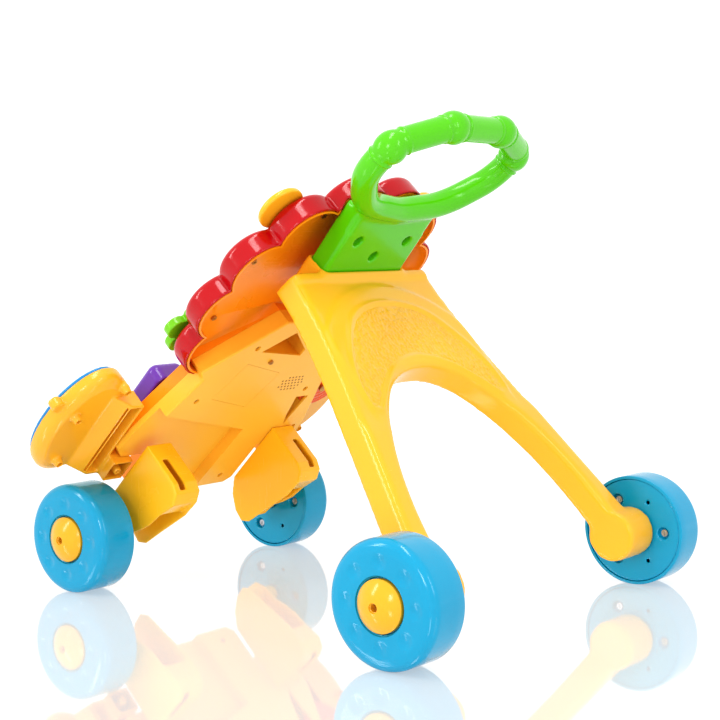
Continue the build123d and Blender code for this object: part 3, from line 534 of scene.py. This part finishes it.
# ---- Play body -----------------------------------------------------------------------------
# Deep yellow two-part housing: a finely textured back plate with door, grille and screw wells,
# and a front shell that widens into the liner of the petals.  Two pockets open behind the plate.
PLATE_REAR = 0.066
POCKET_FLOOR = 0.0905
POCKET_DEPTH = 0.0215
SPEAKER_CENTRE = (-51.6, 217.4)
SOUND_HOLE_RADIUS = 0.00115
body_yellow = moulded(
    "body_yellow", (0.99, 0.56, 0.05), (0.98, 0.51, 0.04), roughness=0.38, grain=0.00005, coat=0.05
)
# The front shell and liner get a deeper orange than the back plate: painted shade and inter-reflection
# of the hollow behind the petals.
liner_painted_shade = moulded("liner_painted_shade", (0.97, 0.33, 0.006), (0.96, 0.29, 0.005), roughness=0.3)
# The screw steel is tinted orange to match the orange seen in the screw wells.
screw_finish = plated("orange_tinted_steel", (0.66, 0.34, 0.09), 0.4)
plate = from_cad("back_cover")
finished("back_plate", plate, body_yellow, "chassis", ["back_cover"], 7)
housing = from_cad("front_shell")
finished("front_housing", housing, liner_painted_shade, "chassis", ["front_shell"], 9)
refinish(body_yellow, "battery_door")
BODY = local_axes((0, -sqrt(0.5), sqrt(0.5)))
POCKETS = [
    [(40.5, 271), (5, 301.5), (-32, 272), (-31, 260)],
    [(-101, 194), (-96, 143), (-85, 161), (-76, 194)],
]
for i, corners in enumerate(POCKETS):
    cup = bmesh.new()
    ring = [cup.verts.new((x * MM, u * MM, POCKET_FLOOR)) for x, u in corners]
    floor_face = cup.faces.new(ring)
    walls = bmesh.ops.extrude_face_region(cup, geom=[floor_face])["geom"]
    rim_verts = [item for item in walls if isinstance(item, bmesh.types.BMVert)]
    bmesh.ops.translate(cup, verts=rim_verts, vec=(0, 0, -POCKET_DEPTH))
    lid = [item for item in walls if isinstance(item, bmesh.types.BMFace)]
    bmesh.ops.delete(cup, geom=lid, context="FACES_ONLY")
    bmesh.ops.recalc_face_normals(cup, faces=cup.faces)
    bmesh.ops.transform(cup, matrix=BODY, verts=cup.verts)
    finished(f"pocket_{i + 1}", cup, body_yellow, "chassis", sharp=20)
refinish(screw_finish, "body_screws", "door_screw", "mane_screws", "paw_screws_left", "paw_screws_right")

# The sound holes are not cut: dark brown discs laid on the back plate's rear face are painted shade
# where the holes would be.
sound_hole_painted_shade = moulded("sound_hole_painted_shade", (0.30, 0.075, 0.006), (0.24, 0.055, 0.004), roughness=0.7, coat=0.0)
grille = bmesh.new()
for row in range(5):
    for column in range(7):
        across = (column - 3) * 5.2 + (2.6 if row % 2 else 0)
        along = (row - 2) * 4.6
        if across ** 2 / 400 + along ** 2 / 144 < 1:
            x, u = across + SPEAKER_CENTRE[0], along + SPEAKER_CENTRE[1]
            spot = BODY @ Matrix.Translation((x * MM, u * MM, PLATE_REAR - 0.00007))
            bmesh.ops.create_circle(
                grille, cap_ends=True, radius=SOUND_HOLE_RADIUS, segments=16, matrix=spot
            )
bmesh.ops.reverse_faces(grille, faces=grille.faces)
finished("speaker_grille", grille, sound_hole_painted_shade, "chassis")

# ---- Petals, face and ears -----------------------------------------------------------------
# A ring of glossy red petals hides the liner's front; the domed face and the ears are yellow.
red = moulded("petal_red", (0.50, 0.001, 0.007), (0.46, 0.001, 0.005), roughness=0.14, coat=0.05)
finished("petal_ring", cast(from_cad("mane"), 0.0013, 3), red, "chassis", ["mane"])
finished("face_dome", cast(from_cad("face"), 0.0012, 3), yellow, "chassis", ["face"])
for side in ("left", "right"):
    ear = cast(from_cad("ear_" + side), 0.001, 4)
    finished("ear_disc_" + side, ear, yellow, "chassis", ["ear_" + side])

# ---- Front legs and paws -------------------------------------------------------------------
# Each front leg is an open box moulding screwed under the body; a bowl-shaped paw with an arm
# is screwed beside it and carries a soft blue cushion over the front wheel.
leg_yellow = moulded("leg_yellow", (0.985, 0.56, 0.02), (0.975, 0.51, 0.016), roughness=0.26)
paw_yellow = moulded("paw_yellow", (0.93, 0.46, 0.03), (0.91, 0.42, 0.024), roughness=0.2)
pad_blue = moulded("pad_blue", (0.012, 0.26, 0.60), (0.010, 0.22, 0.55), roughness=0.34)
for side in ("left", "right"):
    leg = cast(from_cad("leg_box_" + side), 0.0011, 3)
    finished("front_leg_" + side, leg, leg_yellow, "chassis", ["leg_box_" + side])
    paw = cast(from_cad("paw_" + side), 0.0011, 3)
    finished("paw_bowl_" + side, paw, paw_yellow, "chassis", ["paw_" + side])
    pad = cast(from_cad("paw_pad_" + side), 0.0013, 5)
    finished("paw_cushion_" + side, pad, pad_blue, "chassis", ["paw_pad_" + side])

# ---- Play pieces ---------------------------------------------------------------------------
# Solid-coloured moulded caps that press or turn in the body: a bar, three keys, a clicking
# disc, a flower and the nose.  The electric parts behind them keep plain workshop finishes.
purple = moulded("bar_purple", (0.17, 0.045, 0.42), (0.15, 0.038, 0.38), roughness=0.2)
orange = moulded("disc_orange", (0.85, 0.13, 0.015), (0.81, 0.11, 0.012), roughness=0.3)
lime = moulded("flower_lime", (0.20, 0.60, 0.01), (0.17, 0.54, 0.008), roughness=0.2)
white = moulded("pin_white", (0.85, 0.85, 0.83), (0.80, 0.80, 0.78), roughness=0.25)
black = moulded("eye_black", (0.012, 0.012, 0.014), (0.02, 0.02, 0.022), roughness=0.08, coat=0.8)
rubber = moulded("key_rubber", (0.35, 0.36, 0.38), (0.30, 0.31, 0.33), roughness=0.6, coat=0.0)
laminate = moulded("board_green", (0.02, 0.16, 0.05), (0.015, 0.13, 0.04), roughness=0.35)
grey = moulded("speaker_grey", (0.05, 0.05, 0.055), (0.07, 0.07, 0.075), roughness=0.5, coat=0.0)
wrap = moulded("cell_wrap", (0.55, 0.33, 0.05), (0.50, 0.29, 0.04), roughness=0.3)
PLAY = {
    "bar_key": ("bar", purple, "purple_plastic", 0.001),
    "side_disc": ("rattle_disc", orange, "orange_plastic", 0.0007),
    "flower_spinner": ("flower", lime, "lime_plastic", 0.0008),
    "nose_button": ("nose", orange, "orange_plastic", 0.0008),
    "key_1": ("key_one", red, "red_plastic", 0.0008),
    "key_2": ("key_two", green, "green_plastic", 0.0008),
    "key_3": ("key_three", blue, "blue_plastic", 0.0008),
}
for node, (body, finish, slot_name, voxel) in PLAY.items():
    finished(node + "_cap", cast(from_cad(node), voxel, 4), finish, body, [node])
refinish(white, "flower_pin", "nose_switch")
refinish(black, "eyes")
refinish(screw_finish, "side_disc_pin")
refinish(steel, "battery_contacts")
refinish(rubber, "key_membrane")
refinish(laminate, "circuit_board")
refinish(grey, "speaker")
refinish(wrap, "batteries")

# ---- Floor, light and camera ---------------------------------------------------------------
# A pale polished floor that fades into a white room, lit by four soft boxes.
floor_finish = bpy.data.materials.new("pale_floor")
floor_finish.use_nodes = True
floor_tree = floor_finish.node_tree
floor_shader = floor_tree.nodes["Principled BSDF"]
floor_at = Shade(floor_tree).node("TexCoord", out=3)
floor_haze = floor_at.node("TexNoise", {}, {"Vector": floor_at, "Scale": 3.0})
floor_gloss = floor_haze * 0.04 + 0.09
floor_tree.links.new(floor_gloss.socket, floor_shader.inputs["Roughness"])
floor_shader.inputs["Base Color"].default_value = (1.0, 1.0, 1.0, 1)
floor_shader.inputs["Specular IOR Level"].default_value = 0.0
reach = floor_at.node("VectorMath", {"operation": "LENGTH"}, {0: floor_at}, 1)
glow = floor_at.node("Emission", {}, {"Strength": 1.12})
mirror = floor_at.node("BsdfGlossy", {}, {"Roughness": 0.04})
matt = floor_at.node("MixShader", {}, {0: 0.6, 1: Shade(floor_tree, floor_shader.outputs[0]), 2: glow})
polished = floor_at.node("MixShader", {}, {0: 0.46, 1: matt, 2: mirror})
faded = floor_at.node("MixShader", {}, {0: reach.band(0.7, 1.1), 1: polished, 2: glow})
floor_end = floor_tree.nodes["Material Output"].inputs["Surface"]
floor_tree.links.new(faded.socket, floor_end)
floor_mesh = bmesh.new()
bmesh.ops.create_grid(floor_mesh, x_segments=1, y_segments=1, size=30)
floor_data = bpy.data.meshes.new("floor")
floor_mesh.to_mesh(floor_data)
floor_mesh.free()
floor_data.materials.append(floor_finish)
floor = bpy.data.objects.new("floor", floor_data)
bpy.context.scene.collection.objects.link(floor)

world = bpy.data.worlds.new("white_room")
world.use_nodes = True
backdrop = world.node_tree.nodes["Background"]
backdrop.inputs["Color"].default_value = (1, 1, 1, 1)
ray = Shade(world.node_tree).node("LightPath")
seen = Shade(world.node_tree, ray.socket.node.outputs["Is Camera Ray"])
mirrored = Shade(world.node_tree, ray.socket.node.outputs["Is Glossy Ray"])
strength = seen * 0.2 + mirrored * 0.18 + 0.84
world.node_tree.links.new(strength.socket, backdrop.inputs["Strength"])
bpy.context.scene.world = world


def soft_box(name, place, aim, width, height, power):
    """A rectangular area light at a place, facing its aim."""
    data = bpy.data.lights.new(name, "AREA")
    data.shape = "RECTANGLE"
    data.size = width
    data.size_y = height
    data.energy = power
    lamp = bpy.data.objects.new(name, data)
    lamp.location = place
    lamp.rotation_euler = (Vector(place) - Vector(aim)).to_track_quat("Z", "Y").to_euler()
    bpy.context.scene.collection.objects.link(lamp)


soft_box("top_box", (0.5, 0.2, 2.0), (0, 0, 0.2), 0.3, 1.3, 10)
soft_box("left_box", (1.6, -1.1, 1.1), (0, 0, 0.2), 0.25, 1.0, 7)
soft_box("right_box", (0.6, 2.0, 1.0), (0, 0, 0.2), 0.25, 1.0, 5)
soft_box("fill_box", (1.9, 0.7, 0.7), (0, 0, 0.2), 0.3, 0.5, 5)

AZIMUTH = radians(128.5928)
ELEVATION = radians(4.0064)
ROLL = radians(-0.7997)
back = Vector((sin(AZIMUTH) * cos(ELEVATION), -cos(AZIMUTH) * cos(ELEVATION), sin(ELEVATION)))
right = Vector((cos(AZIMUTH), sin(AZIMUTH), 0))
up = back.cross(right)
rolled_right = cos(ROLL) * right + sin(ROLL) * up
rolled_up = cos(ROLL) * up - sin(ROLL) * right
lens = bpy.data.cameras.new("camera")
lens.sensor_width = 36
lens.lens = 78.99
camera = bpy.data.objects.new("camera", lens)
turn = Matrix((rolled_right, rolled_up, back)).transposed().to_4x4()
camera.matrix_world = Matrix.Translation((1.2163, 0.9920, 0.3416)) @ turn
bpy.context.scene.collection.objects.link(camera)
bpy.context.scene.camera = camera
bpy.context.scene.view_settings.view_transform = "Standard"
bpy.context.scene.view_settings.look = "Medium High Contrast"
